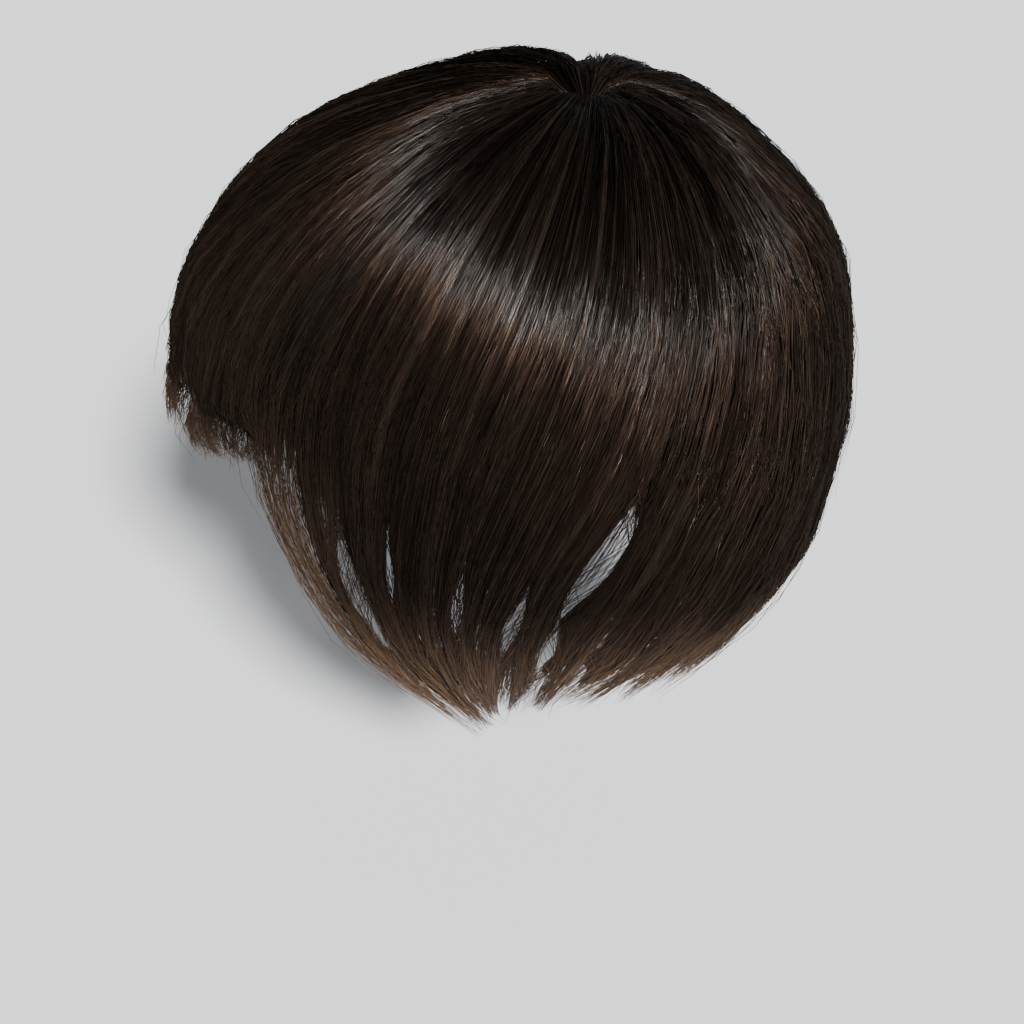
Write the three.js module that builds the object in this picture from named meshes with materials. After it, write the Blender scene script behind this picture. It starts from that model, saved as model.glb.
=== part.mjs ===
// Toupee hairpiece: a thin base cap with hair in locks all round it, kept in the form it has when worn.
// Millimetres. The forehead faces -Y, the wearer's left is +X, and the top of the head is the origin.
import * as THREE from "three";

// Sizes of the head that the piece is made for
const HEAD_LENGTH = 200;
const HEAD_WIDTH = 158;
const HEAD_RISE = 90;
const HEAD_SQUARENESS = 2.2;

// Sizes of the base
const BASE_WALL = 1;
const GAP = 0.4;
const FACET_ALLOWANCE = 0.7;

// Sizes of the hair
const HAIR_DROP = 206;
const CROWN_LIFT = 10.5;
const WHORL_SIDE = 6;
const WHORL_BACK = 26;
const WHORL_DEPTH = 6;
const WHORL_RADIUS = 10;
const WHORL_OPENING = 5;
const BODY_THICKNESS = 9;
const TIP_THICKNESS = 1.6;
const LOCK_RELIEF = 2.6;
const TIP_WIDTH_SHARE = 0.16;
const TIP_TAPER = 1.8;

// The steps of the surfaces
const ROWS = 15;
const ROW_SPREAD = 1.1;
const COLUMNS = 3;
const BASE_STEPS = 36;
const BASE_ROWS = 9;

// The share of a strand's way at which the hair is widest, and the shares between which it leans over
const WIDEST = 0.55;
const LEAN_FROM = 0.3;
const LEAN_TO = 0.9;
const CENTRED = 0.6;

// Degrees below the base's edge between which the inner face leaves the head and follows the outer one
const HANGS_FROM = 4;
const HANGS_TO = 36;

// Small steps, in degrees and in share of the way, over which the hair's slope is taken
const SLOPE_DEGREES = 0.5;
const SLOPE_WAY = 0.002;

// The base's lower edge: degrees from the forehead, and degrees down from the vertical
const BASE_EDGE = [
  { angle: 0, down: 58 },
  { angle: 50, down: 66 },
  { angle: 90, down: 72 },
  { angle: 140, down: 79 },
  { angle: 180, down: 81 },
];

// The dome of the hair by direction from the forehead (degrees), the same on both sides:
// wide is a share of the head's own radius there, level the share of HAIR_DROP where the hair is widest,
// and round and flat the squareness of the dome
const DOME = [
  { angle: 0, wide: 1.096, level: 0.35, round: 0.87, flat: 1.06 },
  { angle: 20, wide: 1.094, level: 0.343, round: 0.84, flat: 1 },
  { angle: 42, wide: 1.128, level: 0.344, round: 0.81, flat: 0.97 },
  { angle: 62, wide: 1.176, level: 0.355, round: 0.86, flat: 0.98 },
  { angle: 90, wide: 1.203, level: 0.372, round: 0.99, flat: 1 },
  { angle: 115, wide: 1.183, level: 0.404, round: 1.08, flat: 1.01 },
  { angle: 140, wide: 1.15, level: 0.44, round: 1.1, flat: 0.98 },
  { angle: 160, wide: 1.139, level: 0.469, round: 1.2, flat: 0.96 },
  { angle: 180, wide: 1.135, level: 0.457, round: 1.25, flat: 0.92 },
];

// The hair below the dome: hem is a share of the head's own radius, tips the share of HAIR_DROP
// that the longest tips reach, and lean and sweep the degrees that the hair turns on its way
const HEM = [
  { angle: 0, hem: 0.95, tips: 0.719, lean: 0, sweep: 0 },
  { angle: 20, hem: 0.922, tips: 0.767, lean: 0, sweep: 6 },
  { angle: 42, hem: 0.815, tips: 0.891, lean: -2, sweep: 26 },
  { angle: 62, hem: 0.792, tips: 0.913, lean: -8, sweep: 20 },
  { angle: 90, hem: 0.783, tips: 0.918, lean: -18, sweep: 8 },
  { angle: 115, hem: 0.732, tips: 0.897, lean: -26, sweep: 0 },
  { angle: 140, hem: 0.685, tips: 0.907, lean: -20, sweep: -4 },
  { angle: 160, hem: 0.679, tips: 0.952, lean: -10, sweep: -2 },
  { angle: 180, hem: 0.698, tips: 1, lean: 0, sweep: 0 },
];

// The fringe is cut short over the forehead, so it has its own hem
const FRINGE_HEM = [
  { angle: 0, hem: 1.14, tips: 0.485, lean: 0, sweep: 0 },
  { angle: 20, hem: 1.095, tips: 0.49, lean: 0, sweep: 0 },
  { angle: 42, hem: 1.07, tips: 0.461, lean: 0, sweep: -1 },
];

// Locks of hair: width in degrees at the root, the row where each parts from the next one,
// how far its tip reaches down the strand's way, and the degrees that the tip turns aside
const FRINGE_START = -41.5;
const FRINGE_LOCKS = [
  { width: 9, parts: 13, reach: 1.01, turn: -1 },
  { width: 8, parts: 12, reach: 1.07, turn: 2 },
  { width: 10, parts: 13, reach: 0.98, turn: 1 },
  { width: 9, parts: 13, reach: 1.05, turn: -2 },
  { width: 11, parts: 12, reach: 1, turn: 1 },
  { width: 9, parts: 13, reach: 1.06, turn: -1 },
  { width: 10, parts: 14, reach: 0.99, turn: 2 },
  { width: 8, parts: 12, reach: 1.04, turn: -1 },
  { width: 9, parts: 13, reach: 1.01, turn: -1 },
];
const SIDE_START = 42.5;
const SIDE_LOCKS = [
  { width: 9.5, parts: 14, reach: 1.02, turn: 4 },
  { width: 9, parts: 11, reach: 0.97, turn: 3 },
  { width: 7, parts: 13, reach: 1, turn: 2 },
  { width: 6.5, parts: 11, reach: 1.01, turn: 2 },
  { width: 5.5, parts: 13, reach: 0.98, turn: 1 },
  { width: 8, parts: 13, reach: 1.02, turn: 0 },
  { width: 9, parts: 12, reach: 1, turn: 0 },
  { width: 9, parts: 13, reach: 1.02, turn: 0 },
  { width: 9, parts: 11, reach: 1.01, turn: -2 },
  { width: 9.5, parts: 10, reach: 0.98, turn: -2 },
];
const BACK_START = 124.5;
const BACK_LOCKS = [
  { width: 9.5, parts: 13, reach: 1, turn: -2 },
  { width: 10.5, parts: 12, reach: 0.98, turn: -2 },
  { width: 10, parts: 13, reach: 1.01, turn: -1 },
  { width: 10, parts: 11, reach: 0.97, turn: 1 },
  { width: 10.5, parts: 14, reach: 1.01, turn: -1 },
  { width: 10.5, parts: 13, reach: 0.98, turn: 1 },
  { width: 10, parts: 12, reach: 1.02, turn: -1 },
  { width: 10, parts: 14, reach: 0.97, turn: 1 },
  { width: 10, parts: 13, reach: 1, turn: -1 },
  { width: 10.5, parts: 12, reach: 0.98, turn: 1 },
  { width: 9.5, parts: 13, reach: 1.01, turn: 2 },
];

const HEAD_CENTRE = new THREE.Vector3(0, 0, -HEAD_RISE);
const HAIR = new THREE.MeshStandardMaterial({ color: 0x241a14, roughness: 0.45, metalness: 0 });
const SKIN = new THREE.MeshStandardMaterial({ color: 0xc9a98c, roughness: 0.6, metalness: 0 });

const { clamp, degToRad, lerp, radToDeg, smoothstep } = THREE.MathUtils;

// An angle between -180 and 180 degrees
function wrapped(angle) {
  return THREE.MathUtils.euclideanModulo(angle + 180, 360) - 180;
}

// A column of a table at any angle, on smooth curves that are level at both ends
function column(table, name, angle) {
  const last = table.length - 1;
  const a = clamp(Math.abs(wrapped(angle)), 0, table[last].angle);
  const i = Math.max(table.findIndex((row) => row.angle >= a) - 1, 0);
  const slope = (k) =>
    k === 0 || k === last
      ? 0
      : (table[k + 1][name] - table[k - 1][name]) / (table[k + 1].angle - table[k - 1].angle);
  const span = table[i + 1].angle - table[i].angle;
  const t = (a - table[i].angle) / span;
  const ease = t * t * (3 - 2 * t);
  return (
    lerp(table[i][name], table[i + 1][name], ease) +
    span * slope(i) * t * (1 - t) * (1 - t) -
    span * slope(i + 1) * t * t * (1 - t)
  );
}

// The head's own radius at its widest level, in a direction from the forehead
function headRadius(angle) {
  const a = degToRad(angle);
  const across = Math.abs((2 * Math.sin(a)) / HEAD_WIDTH) ** HEAD_SQUARENESS;
  const along = Math.abs((2 * Math.cos(a)) / HEAD_LENGTH) ** HEAD_SQUARENESS;
  return (across + along) ** (-1 / HEAD_SQUARENESS);
}

// The point where the ray from the head's middle towards `point` leaves a shell `above` the head
function onHead(point, above) {
  const ray = point.clone().sub(HEAD_CENTRE).normalize();
  const shares = [
    (2 * ray.x) / HEAD_WIDTH,
    (2 * ray.y) / HEAD_LENGTH,
    ray.z / HEAD_RISE,
  ].map((share) => Math.abs(share) ** HEAD_SQUARENESS);
  const radius = (shares[0] + shares[1] + shares[2]) ** (-1 / HEAD_SQUARENESS);
  return ray.multiplyScalar(radius + above).add(HEAD_CENTRE);
}

// Degrees from the vertical at the head's middle
function degreesDown(point) {
  return radToDeg(new THREE.Vector3(0, 0, 1).angleTo(point.clone().sub(HEAD_CENTRE)));
}

// The outer face of the hair: `angle` is the direction in which a strand leaves the whorl,
// and `way` runs from 0 at the whorl to 1 at its tip
function hairFace(hem, angle, way) {
  const wide = column(DOME, "wide", angle) * headRadius(angle);
  const level = -column(DOME, "level", angle) * HAIR_DROP;
  const arc = (clamp(way / WIDEST, 0, 1) * Math.PI) / 2;
  const fall = Math.max((way - WIDEST) / (1 - WIDEST), 0);
  const domed = wide * Math.sin(arc) ** column(DOME, "round", angle);
  const radius = lerp(domed, column(hem, "hem", angle) * headRadius(angle), fall * fall);
  const height =
    lerp(level, CROWN_LIFT, Math.max(Math.cos(arc), 0) ** column(DOME, "flat", angle)) -
    (column(hem, "tips", angle) * HAIR_DROP + level) * fall -
    WHORL_DEPTH * Math.exp(-((radius / WHORL_RADIUS) ** 2));
  const turned =
    column(hem, "lean", angle) * smoothstep(way, LEAN_FROM, LEAN_TO) +
    column(hem, "sweep", angle) * fall ** 3;
  const direction = degToRad(wrapped(angle) + Math.sign(wrapped(angle)) * turned);
  const shift = 1 - smoothstep(way, 0, CENTRED);
  return new THREE.Vector3(
    WHORL_SIDE * shift + radius * Math.sin(direction),
    WHORL_BACK * shift - radius * Math.cos(direction),
    height,
  );
}

// The direction out of the hair's face
function outOfHair(hem, angle, way) {
  const down = hairFace(hem, angle, way + SLOPE_WAY).sub(hairFace(hem, angle, way - SLOPE_WAY));
  const round = hairFace(hem, angle + SLOPE_DEGREES, way).sub(hairFace(hem, angle - SLOPE_DEGREES, way));
  return down.cross(round).normalize();
}

// The way at which the strands in one direction have left the whorl's small opening
function wayOfOpening(angle) {
  const share = WHORL_OPENING / (column(DOME, "wide", angle) * headRadius(angle));
  return (WIDEST * 2 * Math.asin(share ** (1 / column(DOME, "round", angle)))) / Math.PI;
}

// The outer and inner point of a lock, `across` it from -1 to 1; its middle stands proud of its edges
function lockPoint(hem, angle, way, across) {
  const out = outOfHair(hem, angle, way);
  const relief = LOCK_RELIEF * smoothstep(way, 0, 1) * (0.5 - across * across);
  const outer = hairFace(hem, angle, way).addScaledVector(out, relief);
  const hanging = lerp(BODY_THICKNESS, TIP_THICKNESS, smoothstep(way, WIDEST, 1));
  const inward = outer.clone().setZ(0).normalize();
  const free = outer.clone().addScaledVector(inward, -hanging);
  const seated = onHead(outer, BASE_WALL + GAP + FACET_ALLOWANCE);
  const edge = column(BASE_EDGE, "down", radToDeg(Math.atan2(outer.x, -outer.y)));
  const leaves = smoothstep(degreesDown(outer), edge + HANGS_FROM, edge + HANGS_TO);
  return [outer, seated.lerp(free, leaves)];
}

// The grid of a lock: rows down its length, points across it
function lockGrid(hem, side, lock, edges, before, widest) {
  const middle = (edges[0] + edges[1]) / 2;
  const rows = [];
  for (let j = 0; j <= ROWS; j += 1) {
    const narrowed = (parts) =>
      1 - (1 - TIP_WIDTH_SHARE) * clamp((j - parts) / (ROWS - parts), 0, 1) ** TIP_TAPER;
    const left = j > before ? lerp(middle, edges[0], narrowed(before)) : edges[0];
    const right = j > lock.parts ? lerp(middle, edges[1], narrowed(lock.parts)) : edges[1];
    const turn = lock.turn * clamp((j - widest) / (ROWS - widest), 0, 1) ** 2;
    const row = [];
    for (let k = 0; k <= COLUMNS; k += 1) {
      const angle = lerp(left, right, k / COLUMNS) + turn;
      const start = wayOfOpening(angle);
      const even = start + (1 - start) * (j / ROWS) ** ROW_SPREAD;
      const longer = (lock.reach - 1) * clamp((j - widest) / (ROWS - widest), 0, 1);
      row.push(lockPoint(hem, side * angle, even + longer, (2 * k) / COLUMNS - 1));
    }
    rows.push(row);
  }
  return rows;
}

// One closed body from quads; `side` -1 is the mirrored side, whose faces are turned round
class Body {
  constructor(side) {
    this.side = side;
    this.corners = [];
  }
  quad(a, b, c, d) {
    const [first, second] = this.side > 0 ? [b, d] : [d, b];
    for (const corner of [a, first, c, a, c, second]) this.corners.push(...corner.toArray());
  }
  triangle(a, b, c) {
    for (const corner of this.side > 0 ? [a, b, c] : [a, c, b]) this.corners.push(...corner.toArray());
  }
  mesh(name, material) {
    const geometry = new THREE.BufferGeometry();
    geometry.setAttribute("position", new THREE.Float32BufferAttribute(this.corners, 3));
    geometry.computeVertexNormals();
    const mesh = new THREE.Mesh(geometry, material);
    mesh.name = name;
    return mesh;
  }
}

// The faces of a lock: both sides of it, the root, the tip, and its edges from where it stands free
function addLock(body, grid, freeBefore, freeAfter) {
  const [OUT, IN] = [0, 1];
  for (let j = 0; j < ROWS; j += 1) {
    const [row, next] = [grid[j], grid[j + 1]];
    for (let k = 0; k < COLUMNS; k += 1) {
      body.quad(row[k][OUT], next[k][OUT], next[k + 1][OUT], row[k + 1][OUT]);
      body.quad(row[k][IN], row[k + 1][IN], next[k + 1][IN], next[k][IN]);
    }
    if (j >= freeBefore) body.quad(next[0][OUT], row[0][OUT], row[0][IN], next[0][IN]);
    if (j >= freeAfter) {
      body.quad(row[COLUMNS][OUT], next[COLUMNS][OUT], next[COLUMNS][IN], row[COLUMNS][IN]);
    }
  }
  for (let k = 0; k < COLUMNS; k += 1) {
    const [root, tip] = [grid[0], grid[ROWS]];
    body.quad(root[k][OUT], root[k + 1][OUT], root[k + 1][IN], root[k][IN]);
    body.quad(tip[k + 1][OUT], tip[k][OUT], tip[k][IN], tip[k + 1][IN]);
  }
}

// A section of the hair: its locks side by side, joined down to the row where they part
function hairSection(name, hem, side, start, locks) {
  const body = new Body(side);
  const edges = [start];
  for (const lock of locks) edges.push(edges[edges.length - 1] + lock.width);
  const inset = radToDeg(GAP / headRadius(start));
  edges[0] += inset;
  edges[locks.length] -= inset;
  locks.forEach((lock, i) => {
    const before = i === 0 ? ROWS - 2 : locks[i - 1].parts;
    const widest = Math.max(...locks.map((other) => other.parts));
    const grid = lockGrid(hem, side, lock, [edges[i], edges[i + 1]], before, widest);
    addLock(body, grid, i === 0 ? 0 : before, i === locks.length - 1 ? 0 : lock.parts);
  });
  return body.mesh(name, HAIR);
}

// The base: a thin cap that follows the head down to its edge
function baseCap() {
  const body = new Body(1);
  const point = (i, j, above) => {
    const angle = (360 * i) / BASE_STEPS;
    const down = degToRad((column(BASE_EDGE, "down", angle) * j) / BASE_ROWS);
    const ray = new THREE.Vector3(
      Math.sin(down) * Math.sin(degToRad(angle)),
      -Math.sin(down) * Math.cos(degToRad(angle)),
      Math.cos(down),
    );
    return onHead(ray.add(HEAD_CENTRE), above);
  };
  for (let i = 0; i < BASE_STEPS; i += 1) {
    const next = (i + 1) % BASE_STEPS;
    body.triangle(point(i, 0, BASE_WALL), point(i, 1, BASE_WALL), point(next, 1, BASE_WALL));
    body.triangle(point(i, 0, 0), point(next, 1, 0), point(i, 1, 0));
    for (let j = 1; j < BASE_ROWS; j += 1) {
      body.quad(
        point(i, j, BASE_WALL),
        point(i, j + 1, BASE_WALL),
        point(next, j + 1, BASE_WALL),
        point(next, j, BASE_WALL),
      );
      body.quad(point(i, j, 0), point(next, j, 0), point(next, j + 1, 0), point(i, j + 1, 0));
    }
    body.quad(
      point(i, BASE_ROWS, BASE_WALL),
      point(i, BASE_ROWS, 0),
      point(next, BASE_ROWS, 0),
      point(next, BASE_ROWS, BASE_WALL),
    );
  }
  return body.mesh("base", SKIN);
}

const group = new THREE.Group();
group.name = "toupee_hairpiece";
group.add(
  baseCap(),
  hairSection("fringe_hair", FRINGE_HEM, 1, FRINGE_START, FRINGE_LOCKS),
  hairSection("left_side_hair", HEM, 1, SIDE_START, SIDE_LOCKS),
  hairSection("right_side_hair", HEM, -1, SIDE_START, SIDE_LOCKS),
  hairSection("back_hair", HEM, 1, BACK_START, BACK_LOCKS),
);

export default group;
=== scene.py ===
"""A full-cap toupee in the form it has when worn: straight dark brown hair that radiates from a
whorl at the crown and ends in a short jagged fringe and pointed locks, knotted to a thin skin base."""

import math

import bpy
import numpy as np
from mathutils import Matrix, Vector


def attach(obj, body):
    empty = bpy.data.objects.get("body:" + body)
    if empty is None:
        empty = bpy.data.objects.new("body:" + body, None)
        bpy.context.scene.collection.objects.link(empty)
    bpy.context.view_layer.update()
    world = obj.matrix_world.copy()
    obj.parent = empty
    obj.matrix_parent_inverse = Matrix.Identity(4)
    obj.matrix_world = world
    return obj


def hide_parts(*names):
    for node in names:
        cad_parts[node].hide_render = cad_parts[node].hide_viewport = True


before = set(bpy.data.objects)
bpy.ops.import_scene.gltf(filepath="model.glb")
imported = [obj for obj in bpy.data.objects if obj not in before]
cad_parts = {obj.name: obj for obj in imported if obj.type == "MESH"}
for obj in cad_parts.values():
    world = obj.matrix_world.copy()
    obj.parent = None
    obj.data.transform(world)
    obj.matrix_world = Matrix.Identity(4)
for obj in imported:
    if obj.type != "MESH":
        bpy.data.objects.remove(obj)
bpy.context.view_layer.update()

# The view: from the wearer's left and 32 degrees above, at about 0.8 m, with a short telephoto
# lens on a square picture.
VIEWED_POINT = Vector((0, 0.0015, -0.151))
VIEW_DISTANCE = 0.805
VIEW_ELEVATION = math.radians(31.7)
LENS_LENGTH = 81.3
SENSOR_WIDTH = 36

camera = bpy.data.objects.new("camera", bpy.data.cameras.new("camera"))
camera.data.lens = LENS_LENGTH
camera.data.sensor_width = SENSOR_WIDTH
away = Vector((math.cos(VIEW_ELEVATION), 0, math.sin(VIEW_ELEVATION)))
camera.location = VIEWED_POINT + VIEW_DISTANCE * away
camera.rotation_euler = (-away).to_track_quat("-Z", "Y").to_euler()
bpy.context.scene.collection.objects.link(camera)
bpy.context.scene.camera = camera


# The base: a cap of thin polyurethane skin, cast over the head's form and trimmed high on the
# forehead and lower behind. Each hair is knotted through it, so its inside is dotted all over.
HEAD_LENGTH = 200
HEAD_WIDTH = 158
HEAD_RISE = 90
HEAD_SQUARENESS = 2.2
SKIN_WALL = 1.0
KNOT_SPACING = 1.7
SKIN_PER_DEGREE = 1.6
BASE_EDGE = {"angle": [0, 50, 90, 140, 180], "down": [58, 66, 72, 79, 81]}


def column(table, name, angle):
    """A column of a table at any angle from the forehead, on a curve that is level at both ends."""
    x, y = np.array(table["angle"], float), np.array(table[name], float)
    a = np.clip(np.abs((np.asarray(angle, float) + 180) % 360 - 180), 0, x[-1])
    slope = np.zeros(len(x))
    slope[1:-1] = (y[2:] - y[:-2]) / (x[2:] - x[:-2])
    i = np.clip(np.searchsorted(x, a) - 1, 0, len(x) - 2)
    span = x[i + 1] - x[i]
    t = (a - x[i]) / span
    ends = span * (slope[i] * t * (1 - t) ** 2 - slope[i + 1] * t * t * (1 - t))
    return y[i] + (y[i + 1] - y[i]) * t * t * (3 - 2 * t) + ends


def on_head(points, above):
    """Where rays from the head's middle towards the points leave a shell `above` the head."""
    centre = np.array([0, 0, -HEAD_RISE])
    ray = points - centre
    ray = ray / np.linalg.norm(ray, axis=-1, keepdims=True)
    shares = np.abs(ray / [HEAD_WIDTH / 2, HEAD_LENGTH / 2, HEAD_RISE]) ** HEAD_SQUARENESS
    radius = shares.sum(-1, keepdims=True) ** (-1 / HEAD_SQUARENESS)
    return centre + ray * (radius + above)


def grid_faces(rows, columns, closed):
    """Quads over a grid of points; a closed grid joins its last column to its first."""
    j, k = np.meshgrid(np.arange(rows - 1), np.arange(columns if closed else columns - 1), indexing="ij")
    j, k = j.ravel(), k.ravel()
    after = (k + 1) % columns
    corners = (j * columns + k, (j + 1) * columns + k, (j + 1) * columns + after, j * columns + after)
    return np.stack(corners, 1)


def new_piece(name, points_mm, faces, material):
    mesh = bpy.data.meshes.new(name)
    mesh.from_pydata((np.asarray(points_mm) / 1000).tolist(), [], [list(map(int, f)) for f in faces])
    mesh.materials.append(material)
    mesh.validate()
    mesh.shade_smooth()
    piece = bpy.data.objects.new(name, mesh)
    bpy.context.scene.collection.objects.link(piece)
    return piece


def colour(code):
    """An sRGB hex colour as linear values."""
    parts = [int(code[i : i + 2], 16) / 255 for i in (1, 3, 5)]
    return [c / 12.92 if c < 0.04045 else ((c + 0.055) / 1.055) ** 2.4 for c in parts] + [1]


def new_material(name):
    material = bpy.data.materials.new(name)
    material.use_nodes = True
    return material.node_tree, material


def add(tree, kind, settings=(), **links):
    """A node with its settings (attributes or input values by name) and its inputs' links."""
    node = tree.nodes.new(kind)
    for key, value in dict(settings).items():
        if key in node.inputs:
            node.inputs[key].default_value = value
        else:
            setattr(node, key, value)
    for key, socket in links.items():
        name = key.replace("_", " ")
        slot = node.inputs[name] if name in node.inputs else node.inputs[int(key[1:])]
        tree.links.new(socket, slot)
    return node


# Thin cast polyurethane: skin-coloured, slightly glossy, darkened by the hair behind it, with a
# dark dot at each knot. The eye takes it for a scalp under the hair.
tree, skin_material = new_material("cast_polyurethane_skin")
shader = tree.nodes["Principled BSDF"]
place = add(tree, "ShaderNodeUVMap", {"uv_map": "skin"})
knots = add(
    tree,
    "ShaderNodeTexVoronoi",
    {"voronoi_dimensions": "2D", "Scale": 1 / KNOT_SPACING, "Randomness": 0.35},
    Vector=place.outputs["UV"],
)
dots = add(tree, "ShaderNodeValToRGB", Fac=knots.outputs["Distance"])
dots.color_ramp.elements[0].position = 0.16
dots.color_ramp.elements[0].color = colour("#2a1c14")
dots.color_ramp.elements[1].position = 0.3
dots.color_ramp.elements[1].color = colour("#a8896f")
mottle = add(tree, "ShaderNodeTexNoise", {"Scale": 0.09, "Detail": 4}, Vector=place.outputs["UV"])
shade = add(
    tree,
    "ShaderNodeMix",
    {"data_type": "RGBA", "blend_type": "MULTIPLY"},
    i0=mottle.outputs["Fac"],
    i6=dots.outputs["Color"],
)
shade.inputs[7].default_value = colour("#c2a58c")
tree.links.new(shade.outputs[2], shader.inputs["Base Color"])
bump = add(tree, "ShaderNodeBump", {"Strength": 0.5, "Distance": 0.0002}, Height=knots.outputs["Distance"])
tree.links.new(bump.outputs["Normal"], shader.inputs["Normal"])
shader.inputs["Roughness"].default_value = 0.42
shader.inputs["IOR"].default_value = 1.5

ROUND = 96
DOWN = 30
angles = np.arange(ROUND) * 360 / ROUND
share = np.linspace(0, 1, DOWN + 1)[1:]
tilt = np.radians(column(BASE_EDGE, "down", angles)[None, :] * share[:, None])
turn = np.radians(angles)[None, :]
rays = np.stack([np.sin(tilt) * np.sin(turn), -np.sin(tilt) * np.cos(turn), np.cos(tilt) + 0 * turn], -1)
cap = [on_head(rays + [0, 0, -HEAD_RISE], above).reshape(-1, 3) for above in (SKIN_WALL, 0)]
tops = np.array([[0, 0, SKIN_WALL], [0, 0, 0.0]])
outer, first = grid_faces(DOWN, ROUND, True), DOWN * ROUND
inner = outer[:, ::-1] + first
rim = (DOWN - 1) * ROUND + np.arange(ROUND)
rim_after = (DOWN - 1) * ROUND + (np.arange(ROUND) + 1) % ROUND
edge_faces = np.stack([rim, rim + first, rim_after + first, rim_after], 1)
k = np.arange(ROUND)
fans = [(2 * first, a, b) for a, b in zip(k, (k + 1) % ROUND)]
fans += [(2 * first + 1, b + first, a + first) for a, b in zip(k, (k + 1) % ROUND)]
skin_points = np.concatenate([*cap, tops])
skin_faces = [*outer, *inner, *edge_faces, *fans]
base_skin = new_piece("base_skin", skin_points, skin_faces, skin_material)
flat = base_skin.data.uv_layers.new(name="skin")
spot = np.array([base_skin.data.vertices[l.vertex_index].co[:] for l in base_skin.data.loops]) * 1000
from_middle = spot + [0, 0, HEAD_RISE]
upright = from_middle[:, 2] / np.linalg.norm(from_middle, axis=1)
level = np.degrees(np.arccos(np.clip(upright, -1, 1)))
radial = np.maximum(np.hypot(spot[:, 0], spot[:, 1]), 1e-6)
spread = (level * SKIN_PER_DEGREE / radial)[:, None] * spot[:, :2]
flat.data.foreach_set("uv", spread.astype(np.float32).ravel())
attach(base_skin, "root")
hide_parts("base")


# The locks' bodies: under the hair that shows, short and long hairs lie so close that they make one
# dark mass. It follows the locks and ends unevenly, in points at the sides and less so behind.
HAIR_DROP = 206
CROWN_LIFT = 10.5
WHORL = (6, 26)
WHORL_DEPTH = 6
WHORL_RADIUS = 10
WIDEST = 0.55
LEAN = (0.3, 0.9)
CENTRED = 0.6
LOCK_RELIEF = 2.6
TIP_TAPER = 1.8
TIP_WIDTH = 0.16
TURNS_FROM = 0.85
MASS_SWELL = 0.6
DOME = {
    "angle": [0, 20, 42, 62, 90, 115, 140, 160, 180],
    "wide": [1.096, 1.094, 1.128, 1.176, 1.203, 1.183, 1.15, 1.139, 1.135],
    "level": [0.35, 0.343, 0.344, 0.355, 0.372, 0.404, 0.44, 0.469, 0.457],
    "round": [0.87, 0.84, 0.81, 0.86, 0.99, 1.08, 1.1, 1.2, 1.25],
    "flat": [1.06, 1, 0.97, 0.98, 1, 1.01, 0.98, 0.96, 0.92],
}
HEM = {
    "angle": [0, 20, 42, 62, 90, 115, 140, 160, 180],
    "hem": [0.95, 0.922, 0.815, 0.792, 0.783, 0.732, 0.685, 0.679, 0.698],
    "tips": [0.719, 0.767, 0.891, 0.913, 0.918, 0.897, 0.907, 0.952, 1],
    "lean": [0, 0, -2, -8, -18, -26, -20, -10, 0],
    "sweep": [0, 6, 26, 20, 8, 0, -4, -2, 0],
}
FRINGE_HEM = {
    "angle": [0, 20, 42],
    "hem": [1.14, 1.095, 1.07],
    "tips": [0.485, 0.49, 0.461],
    "lean": [0, 0, 0],
    "sweep": [0, 0, -1],
}
# Each section's locks: degrees at the root, the share of the way where it parts from the next
# one, how far its tip reaches, the degrees that its tip turns aside, how far its close hair
# reaches of that, and how full of hair it is; then how much its close hair draws in at the tips
# and how uneven it ends.
FRINGE_LOCKS = {
    "start": -41.5,
    "width": [9, 8, 10, 9, 11, 9, 10, 8, 9],
    "parts": [0.854, 0.782, 0.854, 0.854, 0.782, 0.854, 0.927, 0.782, 0.854],
    "reach": [1.01, 1.07, 0.98, 1.05, 1, 1.06, 0.99, 1.04, 1.01],
    "turn": [-1, 2, 1, -2, 1, -1, 2, -1, -1],
    "body_reach": [0.84, 0.82, 0.87, 0.84, 0.88, 0.83, 0.86, 0.82, 0.84],
    "full": [1, 1, 1, 1, 1, 1, 1, 1, 1],
    "slimming": 0.4,
    "jags": 0.13,
}
SIDE_LOCKS = {
    "start": 42.5,
    "width": [9.5, 9, 7, 6.5, 5.5, 8, 9, 9, 9, 9.5],
    "parts": [0.927, 0.711, 0.854, 0.711, 0.854, 0.854, 0.782, 0.854, 0.711, 0.64],
    "reach": [1.02, 0.97, 1, 1.01, 0.98, 1.02, 1, 1.03, 1.05, 1.04],
    "turn": [4, 3, 2, 2, 1, 0, 0, 0, -2, -2],
    "body_reach": [0.62, 0.7, 0.79, 0.77, 0.78, 0.79, 0.75, 0.77, 0.79, 0.76],
    "full": [0.27, 0.8, 1, 1, 1, 1, 1, 1, 1, 1],
    "slimming": 0.4,
    "jags": 0.13,
}
BACK_LOCKS = {
    "start": 124.5,
    "width": [9.5, 10.5, 10, 10, 10.5, 10.5, 10, 10, 10, 10.5, 9.5],
    "parts": [0.854, 0.782, 0.854, 0.711, 0.927, 0.854, 0.782, 0.927, 0.854, 0.782, 0.854],
    "reach": [1.04, 1.02, 1.01, 0.98, 1.01, 0.99, 1.02, 0.98, 1, 1.02, 1.04],
    "turn": [-2, -2, -1, 1, -1, 1, -1, 1, -1, 1, 2],
    "body_reach": [0.92, 0.98, 1, 1.01, 1, 1.01, 1, 1.01, 1, 0.98, 0.92],
    "full": [1, 1, 1, 1, 1, 1, 1, 1, 1, 1, 1],
    "slimming": 0.1,
    "jags": 0.06,
}


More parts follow.
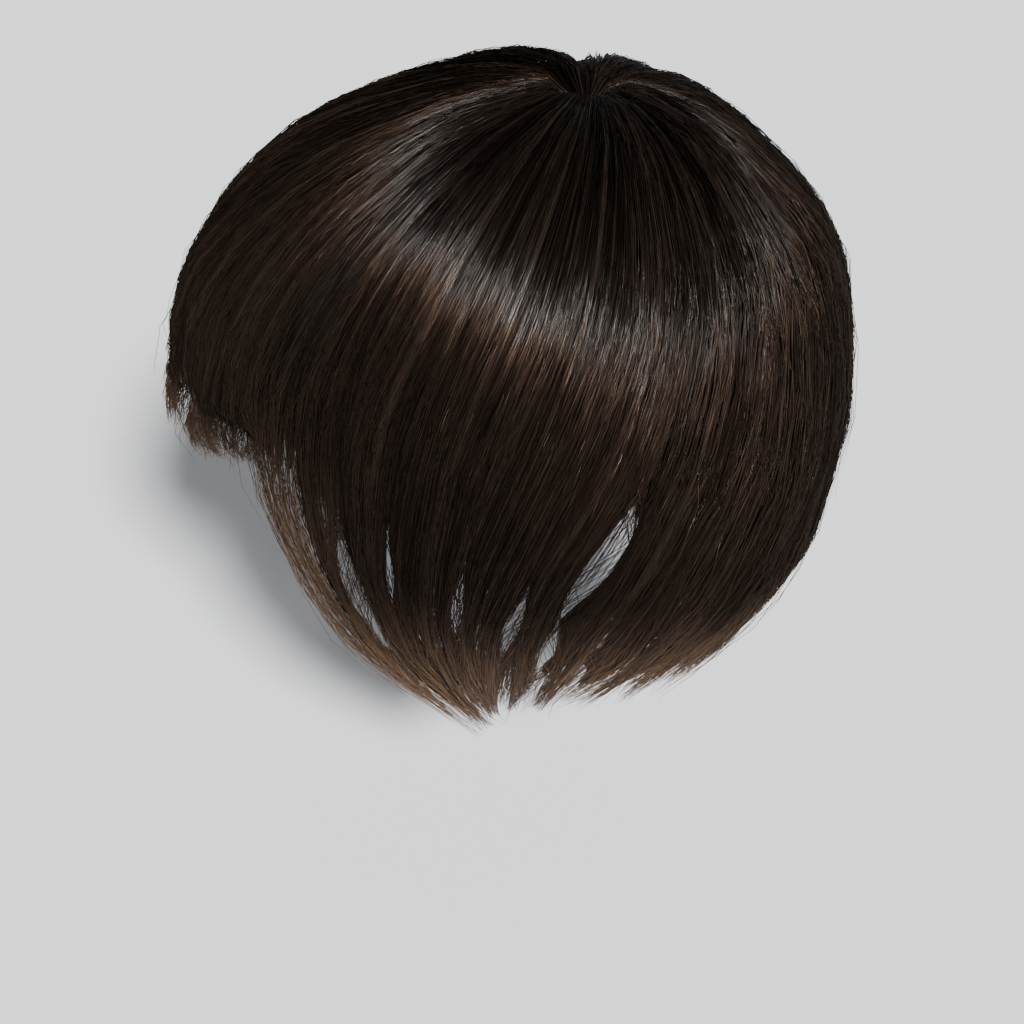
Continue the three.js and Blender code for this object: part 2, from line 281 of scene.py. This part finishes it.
# The gaps between locks, where the hair makes way and closes again below: the direction, the share
# of the way where a gap starts and ends, and half its width in degrees.
SIDE_GAPS = [
    (52, 0.74, 0.9, 2.6), (61, 0.7, 0.9, 6.0), (74.5, 0.67, 0.8, 2.8), (80, 0.82, 0.96, 5.0),
    (88, 0.8, 0.9, 1.4), (97, 0.72, 0.89, 4.2), (106, 0.8, 0.92, 1.6), (115, 0.74, 0.89, 3.4),
    (124.5, 0.54, 0.81, 3.8), (124.5, 0.82, 0.94, 3.2),
]
BACK_GAPS = [
    (124.5, 0.54, 0.81, 3.8), (124.5, 0.82, 0.94, 3.2), (134, 0.8, 0.92, 1.4), (144.5, 0.72, 0.86, 1.2),
    (154.5, 0.82, 0.94, 2.2), (164.5, 0.7, 0.83, 1.2), (175, 0.8, 0.93, 2.0), (185.5, 0.74, 0.87, 1.3),
    (195.5, 0.8, 0.93, 2.2), (205.5, 0.72, 0.85, 1.2), (215.5, 0.8, 0.93, 2.0), (226, 0.75, 0.88, 1.4),
    (235.5, 0.54, 0.81, 3.8), (235.5, 0.82, 0.94, 3.2),
]
FRINGE_GAPS = [
    (-32.5, 0.86, 1.04, 1.4), (-24.5, 0.78, 0.96, 1.0), (-14.5, 0.84, 1.02, 1.6), (-5.5, 0.8, 0.97, 1.0),
    (5.5, 0.86, 1.04, 1.5), (14.5, 0.8, 0.98, 1.0), (24.5, 0.84, 1.02, 1.5), (32.5, 0.78, 0.95, 1.1),
]


def smoothstep(x, low, high):
    t = np.clip((x - low) / (high - low), 0, 1)
    return t * t * (3 - 2 * t)


def head_radius(angle):
    a = np.radians(angle)
    across = np.abs(2 * np.sin(a) / HEAD_WIDTH) ** HEAD_SQUARENESS
    along = np.abs(2 * np.cos(a) / HEAD_LENGTH) ** HEAD_SQUARENESS
    return (across + along) ** (-1 / HEAD_SQUARENESS)


def hair_face(hem, angle, way):
    """The outer face of the hair. A strand leaves the whorl in the direction `angle`, and `way`
    runs from 0 at the whorl to 1 at the hem."""
    wide = column(DOME, "wide", angle) * head_radius(angle)
    level = -column(DOME, "level", angle) * HAIR_DROP
    arc = np.clip(way / WIDEST, 0, 1) * np.pi / 2
    fall = np.maximum((way - WIDEST) / (1 - WIDEST), 0)
    domed = wide * np.sin(arc) ** column(DOME, "round", angle)
    radius = domed + (column(hem, "hem", angle) * head_radius(angle) - domed) * fall**2
    height = level + (CROWN_LIFT - level) * np.maximum(np.cos(arc), 0) ** column(DOME, "flat", angle)
    height = height - (column(hem, "tips", angle) * HAIR_DROP + level) * fall
    height = height - WHORL_DEPTH * np.exp(-((radius / WHORL_RADIUS) ** 2))
    signed = (angle + 180) % 360 - 180
    turned = column(hem, "lean", angle) * smoothstep(way, *LEAN) + column(hem, "sweep", angle) * fall**3
    direction = np.radians(signed + np.sign(signed) * turned)
    shift = 1 - smoothstep(way, 0, CENTRED)
    across = WHORL[0] * shift + radius * np.sin(direction)
    along = WHORL[1] * shift - radius * np.cos(direction)
    return np.stack([across, along, height], -1)


def out_of_hair(hem, angle, way):
    """The direction out of the hair's face."""
    down = hair_face(hem, angle, way + 0.002) - hair_face(hem, angle, way - 0.002)
    along = hair_face(hem, angle + 0.5, way) - hair_face(hem, angle - 0.5, way)
    out = np.cross(down, along)
    return out / np.linalg.norm(out, axis=-1, keepdims=True)


def lock_edges(locks):
    return np.concatenate([[locks["start"]], locks["start"] + np.cumsum(locks["width"])])


def lie_in_lock(locks, lock, across, way, loose=0):
    """The direction in which a hair lies at each share of its way, and how far its lock bulges
    there. `across` runs from -1 to 1 over the lock's root, and a loose hair is drawn in less."""
    edges = lock_edges(locks)
    middle, half = (edges[lock] + edges[lock + 1]) / 2, (edges[lock + 1] - edges[lock]) / 2
    parts, reach = np.array(locks["parts"]), np.array(locks["reach"])[lock]
    part = np.where(across > 0, parts[lock], parts[np.maximum(lock - 1, 0)])
    closing = np.clip((way - part) / (reach - part), 0, 1.05) ** TIP_TAPER
    width = 1 - (1 - TIP_WIDTH) * closing * (1 - loose)
    turned = np.array(locks["turn"])[lock] * np.clip((way - TURNS_FROM) / (1 - TURNS_FROM), 0, 1.2) ** 2
    bulge = LOCK_RELIEF * smoothstep(way, 0, 1) * (0.5 - np.clip(across, -1, 1) ** 2)
    return middle + across * half * width + turned, bulge


def round_gaps(gaps, lying, way, heeds, own=None):
    """Directions of hairs that go round the gaps, as far as each of them heeds a gap. With the
    direction of its `own` middle given, a lock stays whole on its side of each gap."""
    for centre, start, end, half in gaps:
        along = np.clip((2 * way - start - end) / (end - start), -1, 1)
        open_by = half * (1 - along**2) * heeds
        aside = lying - centre
        sign = np.sign(aside) if own is None else np.sign(own - centre)
        lying = centre + sign * (np.maximum(aside * sign, 0) ** 3 + open_by**3) ** (1 / 3)
    return lying


def waves(x, y, seed, count, x_length, y_length):
    """A smooth uneven field over two directions, with a swing of about 1."""
    random = np.random.default_rng(seed)
    total = 0
    for _ in range(count):
        a, b = random.normal(size=2) * [2 * np.pi / x_length, 2 * np.pi / y_length]
        total = total + np.sin(a * x + b * y + random.uniform(0, 2 * np.pi))
    return total / math.sqrt(count / 2)


def mass_swell(lying, way):
    """How much deeper than its even face the mass lies: long soft waves, level at the whorl."""
    narrow = waves(lying, way, seed=11, count=6, x_length=8, y_length=0.4)
    broad = waves(lying, way, seed=13, count=5, x_length=22, y_length=0.33)
    return MASS_SWELL * (narrow + broad) * smoothstep(way, 0.03, 0.3)


def hair_material(name, dark, light, ends):
    """The nodes that all this hair has: each hair its own brown between dark and light, and a
    lighter brown painted where the hair lies thin, for the light that shines through it there,
    from the attributes `tone` and `thin`."""
    tree, material = new_material(name)
    shader = tree.nodes["Principled BSDF"]
    tone = add(tree, "ShaderNodeAttribute", {"attribute_name": "tone"})
    thin = add(tree, "ShaderNodeAttribute", {"attribute_name": "thin"})
    hairs = add(tree, "ShaderNodeValToRGB", Fac=tone.outputs["Fac"])
    hairs.color_ramp.elements[0].color = colour(dark)
    hairs.color_ramp.elements[1].color = colour(light)
    lit_through = add(
        tree,
        "ShaderNodeMix",
        {"data_type": "RGBA"},
        i0=thin.outputs["Fac"],
        i6=hairs.outputs["Color"],
    )
    # ends: a painted lighter brown for the light that shines through thin hair, mixed in by `thin`.
    lit_through.inputs[7].default_value = colour(ends)
    tree.links.new(lit_through.outputs[2], shader.inputs["Base Color"])
    shader.inputs["IOR"].default_value = 1.55
    return tree, shader, material


# Dyed human hair lying close: nearly black, with a fine grain along the hair that breaks the gloss, and a
# brown painted in where the bodies' ends thin out, for the light that shines through them.
tree, shader, mass_material = hair_material("close_lying_dyed_hair", "#050404", "#0d0a08", "#33241a")
place = add(tree, "ShaderNodeUVMap", {"uv_map": "flow"})
spread = add(tree, "ShaderNodeMapping", Vector=place.outputs["UV"])
spread.inputs["Scale"].default_value = (2.2, 0.03, 1)
grain = add(tree, "ShaderNodeTexNoise", {"Scale": 1, "Detail": 3}, Vector=spread.outputs["Vector"])
bump = add(tree, "ShaderNodeBump", {"Strength": 1, "Distance": 0.0006}, Height=grain.outputs["Fac"])
tree.links.new(bump.outputs["Normal"], shader.inputs["Normal"])
shader.inputs["Roughness"].default_value = 0.5
shader.inputs["Specular IOR Level"].default_value = 0.08

BODY_ROWS = 24
BODY_COLUMNS = 13
BODY_OVERLAP = 1.05
BODY_DEPTH = 3.3
BODY_LOOSE = 0.5
BODY_WALL = 2.2
BODY_FROM = 0.012
BODY_SEAT = 0.5
HANGS_FROM = (0.42, 0.6)
BODY_LIT_THROUGH = 0.6
GRAIN_PER_DEGREE = 1.7
GRAIN_PER_WAY = 260


def lock_bodies(name, node, hem, side, locks, gaps):
    """One piece with a closed flat body in each lock of a section."""
    random = np.random.default_rng(len(name))
    points, faces, grains, lit_through, count = [], [], [], [], 0
    for lock, reach in enumerate(locks["body_reach"]):
        across = np.linspace(-BODY_OVERLAP, BODY_OVERLAP, BODY_COLUMNS)[None, :]
        share = np.linspace(0, 1, BODY_ROWS)[:, None]
        end = reach * locks["reach"][lock]
        jagged = 1 - locks["jags"] * random.random((1, BODY_COLUMNS)) * share
        way = BODY_FROM + (end - BODY_FROM) * share * jagged
        slim = 1 - locks["slimming"] * smoothstep(way, 0.7, 0.88)
        lying, bulge = lie_in_lock(locks, lock, across * slim, way, BODY_LOOSE)
        lying = round_gaps(gaps, lying, way, 1, lock_edges(locks)[lock : lock + 2].mean())
        face, out = hair_face(hem, side * lying, way), out_of_hair(hem, side * lying, way)
        depth = BODY_DEPTH * (1 - 0.4 * smoothstep(way, 0.6, 1)) - bulge + mass_swell(lying, way)
        rounded = 0.8 * smoothstep(way, 0.5, 0.8) * across**2
        outer = face - out * (depth + rounded)[..., None]
        seated = on_head(outer, SKIN_WALL + BODY_SEAT)
        level = outer * [1, 1, 0]
        level = level / np.linalg.norm(level, axis=-1, keepdims=True)
        wall = BODY_WALL * (1 - 0.8 * smoothstep(way, 0.6, 0.95)) * (1 - 0.6 * across**4)
        hanging = outer - level * wall[..., None]
        inner = seated + (hanging - seated) * smoothstep(way, *HANGS_FROM)[..., None]
        points += [outer.reshape(-1, 3), inner.reshape(-1, 3)]
        block = way.size
        k = np.arange(block).reshape(way.shape)
        front = grid_faces(BODY_ROWS, BODY_COLUMNS, False)
        sheet = [front, front[:, ::-1] + block]
        for a, flip in ((k[0], 1), (k[-1], -1), (k[:, 0], -1), (k[:, -1], 1)):
            band = np.stack([a[:-1], a[1:], a[1:] + block, a[:-1] + block], 1)
            sheet.append(band[:, ::flip])
        sheet = np.concatenate(sheet) + count
        faces.append(sheet[:, ::-1] if side < 0 else sheet)
        grain_place = np.stack([(lying * GRAIN_PER_DEGREE).ravel(), (way * GRAIN_PER_WAY).ravel()], 1)
        grains += [grain_place, grain_place]
        # The bodies' thinning ends are painted lighter brown, for the light that shines through them.
        lit_through += [(BODY_LIT_THROUGH * smoothstep(way, 0.72, 0.95)).ravel()] * 2
        count += 2 * block
    piece = new_piece(name, np.concatenate(points), np.concatenate(faces), mass_material)
    flow = piece.data.uv_layers.new(name="flow")
    index = np.array([l.vertex_index for l in piece.data.loops])
    flow.data.foreach_set("uv", np.concatenate(grains)[index].astype(np.float32).ravel())
    for key, values in (("tone", random.random(count)), ("thin", np.concatenate(lit_through))):
        layer = piece.data.attributes.new(key, "FLOAT", "POINT")
        layer.data.foreach_set("value", values.astype(np.float32))
    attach(piece, "root")
    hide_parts(node)


lock_bodies("fringe_lock_bodies", "fringe_hair", FRINGE_HEM, 1, FRINGE_LOCKS, FRINGE_GAPS)
lock_bodies("left_lock_bodies", "left_side_hair", HEM, 1, SIDE_LOCKS, SIDE_GAPS)
lock_bodies("right_lock_bodies", "right_side_hair", HEM, -1, SIDE_LOCKS, SIDE_GAPS)
lock_bodies("back_lock_bodies", "back_hair", HEM, 1, BACK_LOCKS, BACK_GAPS)


# The hair that shows: straight dyed hairs, 7 cm long in the fringe and up to 22 cm from the whorl,
# each knotted to the base at one end and cut at the other. Neighbours cling together in wisps, and
# the wisps close up in the locks' points.
# A hair is drawn nearly three times as thick as the real 0.08 mm, so that it shows.
HAIR_THICKNESS = 0.22
HAIR_NOISE_LENGTH = 18
HAIR_UNEVEN = 1.8
INNER_LEAN = 0.1
HAIR_NOISE_APART = 60
TONE_RISE = 0.28
WISPS = 4
ROOTS_TO = {"angle": [0, 50, 90, 140, 180], "way": [0.38, 0.43, 0.47, 0.52, 0.54]}
# Round the whorl the hair stands up a little on both sides of a small notch on the far side. Each
# row is a direction, half its width in degrees, and how much lower the hair lies there.
CROWN_SWELLS = [(-90, 7, 2.6), (-62, 20, -1.4), (-112, 12, -1.8), (60, 60, -1.0), (150, 40, -1.0)]

# Dyed human hair: near black in the mass, with a brown painted in where it thins out, for the light
# that shines through it there. Its scales lean towards the tip, so light makes two bands on it: a
# pale one on the surface, and below that a wider brown one from inside the hair. No hair lies quite
# even, which breaks both bands up, and the lighter hairs shine more.
tree, shader, strand_material = hair_material("dyed_human_hair", "#060504", "#261d17", "#6c5644")
shader.inputs["Roughness"].default_value = 0.3
shader.inputs["Specular Tint"].default_value = colour("#d9a884")
shader.inputs["Coat Roughness"].default_value = 0.24
shader.inputs["Coat IOR"].default_value = 1.4
place = add(tree, "ShaderNodeTexCoord")
tone = next(n for n in tree.nodes if n.type == "ATTRIBUTE" and n.attribute_name == "tone")
apart = add(tree, "ShaderNodeAttribute", {"attribute_name": "apart"})
own = add(
    tree,
    "ShaderNodeVectorMath",
    {"operation": "MULTIPLY_ADD"},
    i0=apart.outputs["Vector"],
    i2=place.outputs["Object"],
)
own.inputs[1].default_value = (HAIR_NOISE_APART,) * 3
noise = add(
    tree,
    "ShaderNodeTexNoise",
    {"Scale": 1000 / HAIR_NOISE_LENGTH, "Detail": 0},
    Vector=own.outputs["Vector"],
)
uneven = add(
    tree,
    "ShaderNodeBump",
    {"Strength": 1, "Distance": HAIR_UNEVEN / 1000},
    Height=noise.outputs["Fac"],
)
tree.links.new(uneven.outputs["Normal"], shader.inputs["Coat Normal"])
run = add(tree, "ShaderNodeAttribute", {"attribute_name": "run"})
leaning = add(
    tree,
    "ShaderNodeBump",
    {"Strength": 1, "Distance": INNER_LEAN / 1000},
    Height=run.outputs["Fac"],
    Normal=uneven.outputs["Normal"],
)
tree.links.new(leaning.outputs["Normal"], shader.inputs["Normal"])
pale = add(tree, "ShaderNodeMapRange", {"To Min": 0.1, "To Max": 1.0}, Value=tone.outputs["Fac"])
tree.links.new(pale.outputs["Result"], shader.inputs["Coat Weight"])
brown = add(tree, "ShaderNodeMapRange", {"To Min": 0.04, "To Max": 0.33}, Value=tone.outputs["Fac"])
tree.links.new(brown.outputs["Result"], shader.inputs["Specular IOR Level"])


def strand_tree():
    """Turns paths of points into closed three-sided hairs."""
    tree = bpy.data.node_groups.new("strands_from_paths", "GeometryNodeTree")
    face = tree.interface
    face.new_socket("Geometry", in_out="INPUT", socket_type="NodeSocketGeometry")
    face.new_socket("Thickness", in_out="INPUT", socket_type="NodeSocketFloat")
    face.new_socket("Hair", in_out="INPUT", socket_type="NodeSocketMaterial")
    face.new_socket("Geometry", in_out="OUTPUT", socket_type="NodeSocketGeometry")
    given, made = tree.nodes.new("NodeGroupInput"), tree.nodes.new("NodeGroupOutput")
    paths = add(tree, "GeometryNodeMeshToCurve", Mesh=given.outputs["Geometry"])
    girth = add(tree, "GeometryNodeInputNamedAttribute", {"data_type": "FLOAT", "Name": "girth"})
    radius = add(
        tree,
        "ShaderNodeMath",
        {"operation": "MULTIPLY"},
        i0=girth.outputs["Attribute"],
        i1=given.outputs["Thickness"],
    )
    thick = add(
        tree,
        "GeometryNodeSetCurveRadius",
        Curve=paths.outputs["Curve"],
        Radius=radius.outputs["Value"],
    )
    section = add(tree, "GeometryNodeCurvePrimitiveCircle", {"Resolution": 3, "Radius": 0.5})
    tubes = add(
        tree,
        "GeometryNodeCurveToMesh",
        {"Fill Caps": True},
        Curve=thick.outputs["Curve"],
        Profile_Curve=section.outputs["Curve"],
    )
    if "Scale" in tubes.inputs:
        own = add(tree, "GeometryNodeInputNamedAttribute", {"data_type": "FLOAT", "Name": "radius"})
        tree.links.new(own.outputs["Attribute"], tubes.inputs["Scale"])
    smooth = add(tree, "GeometryNodeSetShadeSmooth", {"Shade Smooth": True}, Geometry=tubes.outputs["Mesh"])
    real = add(tree, "GeometryNodeRealizeInstances", Geometry=smooth.outputs["Geometry"])
    painted = add(
        tree, "GeometryNodeSetMaterial", Geometry=real.outputs["Geometry"], Material=given.outputs["Hair"]
    )
    tree.links.new(painted.outputs["Geometry"], made.inputs["Geometry"])
    return tree


strands_from_paths = strand_tree()


def give_cells(mesh, hairs, points):
    """Each hair's faces get a small cell of their own on the map named OFBake."""
    side = math.ceil(math.sqrt(hairs))
    loops = np.empty(len(mesh.loops), np.int32)
    mesh.loops.foreach_get("vertex_index", loops)
    starts = np.empty(len(mesh.polygons), np.int32)
    totals = np.empty(len(mesh.polygons), np.int32)
    mesh.polygons.foreach_get("loop_start", starts)
    mesh.polygons.foreach_get("loop_total", totals)
    hair, rest = np.divmod(loops, 3 * points)
    step, corner = np.divmod(rest, 3)
    across, along = corner / 3.0, step / (points - 1.0)
    face = np.repeat(np.arange(len(totals)), totals)
    high = np.maximum.reduceat(corner, starts)[face]
    low = np.minimum.reduceat(corner, starts)[face]
    quad = totals[face] == 4
    across = np.where(quad & (low == 0) & (high == 2) & (corner == 0), 1.0, across)
    across = np.where(quad, across, 0.1 + 0.3 * corner)
    cap_along = np.where(step == 0, 0.005, 0.955) + 0.04 * (corner == 1)
    along = np.where(quad, 0.06 + 0.88 * along, cap_along)
    cell = np.stack([hair % side + 0.05 + 0.9 * across, hair // side + 0.05 + 0.9 * along], 1) / side
    layer = mesh.uv_layers.new(name="OFBake")
    layer.data.foreach_set("uv", cell.astype(np.float32).ravel())


def hairs_piece(name, paths_mm, girth, tone, thin, apart):
    """One piece of hairs from their paths, an array of hairs by points by 3."""
    hairs, points, _ = paths_mm.shape
    first = np.arange(hairs)[:, None] * points + np.arange(points - 1)[None, :]
    edges = np.stack([first, first + 1], -1).reshape(-1, 2)
    mesh = bpy.data.meshes.new(name)
    mesh.vertices.add(hairs * points)
    mesh.vertices.foreach_set("co", (paths_mm / 1000).astype(np.float32).ravel())
    mesh.edges.add(len(edges))
    mesh.edges.foreach_set("vertices", edges.astype(np.int32).ravel())
    steps = np.linalg.norm(np.diff(paths_mm, axis=1), axis=-1)
    run = np.concatenate([np.zeros((hairs, 1)), np.cumsum(steps, axis=1)], 1)
    for key, values in (("girth", girth), ("tone", tone), ("thin", thin), ("run", run), ("apart", apart)):
        layer = mesh.attributes.new(key, "FLOAT", "POINT")
        layer.data.foreach_set("value", values.astype(np.float32).ravel())
    paths = bpy.data.objects.new(name + "_paths", mesh)
    bpy.context.scene.collection.objects.link(paths)
    modifier = paths.modifiers.new("hairs", "NODES")
    modifier.node_group = strands_from_paths
    sockets = {s.name: s.identifier for s in strands_from_paths.interface.items_tree if s.in_out == "INPUT"}
    modifier[sockets["Thickness"]] = HAIR_THICKNESS / 1000
    modifier[sockets["Hair"]] = strand_material
    seen = paths.evaluated_get(bpy.context.evaluated_depsgraph_get())
    made = bpy.data.meshes.new_from_object(seen)
    made.name = name
    bpy.data.objects.remove(paths)
    give_cells(made, hairs, points)
    piece = bpy.data.objects.new(name, made)
    bpy.context.scene.collection.objects.link(piece)
    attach(piece, "root")
    return piece


# How a section is combed: the shares of hairs that stray, lie wild or cross the gaps; how far past
# its lock a hair reaches and how unevenly it is cut; how strongly a wisp holds its hairs; how much
# deeper the hairs from the base's edge lie; and how much painted brown, for light shining through, a thin
# place gets.
STRAY_SHARE = 0.02
WILD_SHARE = 0.16
CROSSING_SHARE = 0.08
TIP_PAST_LOCK = 0.035
CUT_UNEVEN = 0.19
LONGEST = 1.055
WISP_SORTS = 3
WISP_HOLD = 0.55
DEEPER_FROM_EDGE = 2.2
KNOT_CLEARANCE = 0.1
THIN_LIT_THROUGH = 0.65


def comb(
    name, hem, side, locks, gaps, count, seed, roots, long, points=9, crowded=1.0, spacing=1.0, lit_through=1.0
):
    """A piece of hairs in one section. `roots` is the share of the base, from the whorl to its
    edge, in which they are knotted, crowded towards the whorl, and `long` their length as a share
    of the way."""
    random = np.random.default_rng(seed)

    def each(low, high):
        return random.uniform(low, high, (count, 1))

    widths = np.array(locks["width"])
    shares = widths * locks["full"]
    lock = random.choice(len(widths), (count, 1), p=shares / shares.sum())
    bare = 1 - np.array(locks["full"])[lock]
    across = each(-1, 1)
    edges = lock_edges(locks)
    angle = (edges[lock] + edges[lock + 1]) / 2 + across * widths[lock] / 2
    knotted_to = column(ROOTS_TO, "way", angle)
    root = knotted_to * (roots[0] + (roots[1] - roots[0]) * each(0, 1) ** crowded)
    longest = np.array(locks["reach"])[lock] + TIP_PAST_LOCK - 0.02 * np.abs(random.normal(size=(count, 1)))
    stray = each(0, 1) < STRAY_SHARE
    wild = each(0, 1) < WILD_SHARE
    longest = np.minimum(longest - CUT_UNEVEN * each(0, 1) ** 2.2 + each(0, 0.1) * wild, LONGEST)
    end = np.minimum(root + long * each(0.8, 1.1), longest)
    t = np.linspace(0, 1, points)[None, :] ** spacing
    way = root + (end - root) * t

    # Neighbours share a wisp: its middle, its drift and its depth.
    place = np.clip(np.floor((across + 1) / 2 * WISPS), 0, WISPS - 1)
    wisp = (lock * WISPS + place).astype(int) * WISP_SORTS + random.integers(0, WISP_SORTS, (count, 1))

    def draw(low, high):
        return random.uniform(low, high, len(widths) * WISPS * WISP_SORTS)[wisp]

    middle = (place + 0.5) / WISPS * 2 - 1 + draw(-0.35, 0.35)
    loose = np.clip(np.where(each(0, 1) < 0.2, each(0.3, 0.8), 0) + draw(0.35, 0.95), 0, 1)
    cling = (0.1 + WISP_HOLD * smoothstep(way, 0.35, 0.9)) * draw(0.4, 1.1) * (1.2 - loose)
    lying, bulge = lie_in_lock(locks, lock, across + (middle - across) * cling, way, loose)
    free = smoothstep(way, 0.12, 0.9)
    drift = 1.2 * free * waves(lying, way, seed=7, count=6, x_length=16, y_length=0.8)
    drift = drift + draw(0.3, 2.0) * free * np.sin(2 * np.pi * (way * draw(0.4, 1.3) + draw(0, 1)))
    own = each(0.05, 0.3) * np.sin(2 * np.pi * (t * each(0.4, 1.4) + each(0, 1)))
    curl = each(0.1, 1.7) * smoothstep(way, 0.7, 1) * np.sin(2 * np.pi * (way * each(1, 3) + each(0, 1)))
    curl = curl * (1 + 4 * wild + 2 * stray)
    lying = lying + drift + own * (0.5 + free) + curl + 4 * stray * free * each(-1, 1)
    lying = lying + (0.3 + 3 * bare * smoothstep(way, 0.2, 0.6)) * random.normal(size=(count, 1))
    heeds = np.where(each(0, 1) < CROSSING_SHARE, 0, each(0.75, 1))
    lying = round_gaps(gaps, lying, way, heeds)

    over = np.clip(root / knotted_to, 0, 1)
    depth = each(0, 1) ** 1.3 * (1 + DEEPER_FROM_EDGE * over) * smoothstep(way, -0.2, 0.25)
    depth = depth * (1 - 0.6 * smoothstep(way, 0.62, 1))
    swell = draw(0.2, 0.9) * np.sin(2 * np.pi * (way * draw(0.8, 2) + draw(0, 1)))
    ripple = each(0.05, 0.35) * np.sin(2 * np.pi * (t * each(1, 2.5) + each(0, 1)))
    fine = 0.5 * waves(lying, way, seed=12, count=6, x_length=3, y_length=0.2) * smoothstep(way, 0, 0.12)
    uneven = (swell + ripple + 0.5) * smoothstep(way, 0.03, 0.3)
    depth = depth + mass_swell(lying, way) + fine + uneven - bulge
    depth = depth - stray * each(-2, 6) * smoothstep(way, each(0.1, 0.6), 0.9)
    for direction, half, lower in CROWN_SWELLS:
        turn = (side * lying - direction + 180) % 360 - 180
        depth = depth + lower * np.exp(-((turn / half) ** 2)) * (1 - smoothstep(way, 0.12, 0.3))
    face, out = hair_face(hem, side * lying, way), out_of_hair(hem, side * lying, way)
    path = face - out * depth[..., None]
    knot = on_head(path, SKIN_WALL + KNOT_CLEARANCE)
    risen = smoothstep(way - root, -0.01, 0.025 + 0.3 * root)
    path = knot + (path - knot) * risen[..., None]
    girth = each(0.75, 1.15) * (1 - 0.7 * smoothstep(t, 0.9, 1.0))
    streak = 0.5 * np.maximum(waves(angle, 0, seed=31, count=6, x_length=3, y_length=1) - 0.6, 0)
    tone = np.clip(0.1 + 0.16 * random.normal(size=(count, 1)) + draw(-0.3, 0.3) + streak, 0, 1)
    apart = tone + 0 * t
    tone = np.clip(tone + TONE_RISE * smoothstep(way, 0.12, 0.45), 0, 1)
    # Where hair thins, at the tips and in sparse locks, it is painted lighter brown for the light that
    # shines through it.
    thin = np.maximum(smoothstep(way, 0.76, 1.02), THIN_LIT_THROUGH * bare * smoothstep(way, 0.55, 0.75))
    thin = thin * np.clip(each(0, 0.7) + draw(0, 0.7), 0, 1) * lit_through
    return hairs_piece(name, path, girth, tone, thin, apart)


WHORL_HAIRS = {"roots": (0.003, 0.35), "long": 0.75, "points": 12, "crowded": 2.2, "spacing": 1.3}
comb("crown_fringe_hairs", FRINGE_HEM, 1, FRINGE_LOCKS, FRINGE_GAPS, 1000, 1, lit_through=0.4, **WHORL_HAIRS)
comb("crown_left_hairs", HEM, 1, SIDE_LOCKS, SIDE_GAPS, 1350, 2, **WHORL_HAIRS)
comb("crown_right_hairs", HEM, -1, SIDE_LOCKS, SIDE_GAPS, 950, 3, **WHORL_HAIRS)
comb("crown_back_hairs", HEM, 1, BACK_LOCKS, BACK_GAPS, 1250, 4, **WHORL_HAIRS)
TOP_HAIRS = {"roots": (0.12, 0.8), "long": 0.62}
comb("top_fringe_hairs", FRINGE_HEM, 1, FRINGE_LOCKS, FRINGE_GAPS, 600, 5, lit_through=0.4, **TOP_HAIRS)
comb("top_left_hairs", HEM, 1, SIDE_LOCKS, SIDE_GAPS, 850, 6, **TOP_HAIRS)
comb("top_right_hairs", HEM, -1, SIDE_LOCKS, SIDE_GAPS, 750, 7, **TOP_HAIRS)
comb("top_back_hairs", HEM, 1, BACK_LOCKS, BACK_GAPS, 850, 8, **TOP_HAIRS)
EDGE_HAIRS = {"roots": (0.75, 1), "long": 0.75}
comb("fringe_hairs", FRINGE_HEM, 1, FRINGE_LOCKS, FRINGE_GAPS, 1500, 9, lit_through=0.4, **EDGE_HAIRS)
comb("left_side_hairs", HEM, 1, SIDE_LOCKS, SIDE_GAPS, 2600, 10, **EDGE_HAIRS)
comb("right_side_hairs", HEM, -1, SIDE_LOCKS, SIDE_GAPS, 2000, 11, **EDGE_HAIRS)
comb("back_hairs", HEM, 1, BACK_LOCKS, BACK_GAPS, 2900, 12, **EDGE_HAIRS)


# The floor and light: a pale seamless floor that fills the picture, a flash near the view, soft
# as from a wide umbrella, and pale surroundings that light the hair less than they show. The floor
# isn't mirrored in the hair.
FLOOR_DROP = 300
FLOOR_HALF = 20000
FLASH_ASIDE = Vector((0, 0.2, 0.1))
FLASH_ANGLE = math.radians(8)
FLASH_STRENGTH = 8.6

tree, floor_material = new_material("pale_paper_floor")
shader = tree.nodes["Principled BSDF"]
shader.inputs["Base Color"].default_value = colour("#ecedef")
shader.inputs["Roughness"].default_value = 0.9
floor = new_piece(
    "floor",
    [(x * FLOOR_HALF, y * FLOOR_HALF, -FLOOR_DROP) for x, y in ((-1, -1), (1, -1), (1, 1), (-1, 1))],
    [(0, 1, 2, 3)],
    floor_material,
)
floor.visible_glossy = False

flash = bpy.data.objects.new("flash", bpy.data.lights.new("flash", "SUN"))
flash.data.energy = FLASH_STRENGTH
flash.data.angle = FLASH_ANGLE
flash.rotation_euler = (-(away + FLASH_ASIDE)).to_track_quat("-Z", "Y").to_euler()
bpy.context.scene.collection.objects.link(flash)

world = bpy.data.worlds.new("studio")
bpy.context.scene.world = world
world.use_nodes = True
tree = world.node_tree
back = tree.nodes["Background"]
back.inputs["Color"].default_value = colour("#eef0f4")
seen = add(tree, "ShaderNodeLightPath")
strength = add(
    tree,
    "ShaderNodeMapRange",
    {"To Min": 0.32, "To Max": 1.5},
    Value=seen.outputs["Is Camera Ray"],
)
tree.links.new(strength.outputs["Result"], back.inputs["Strength"])
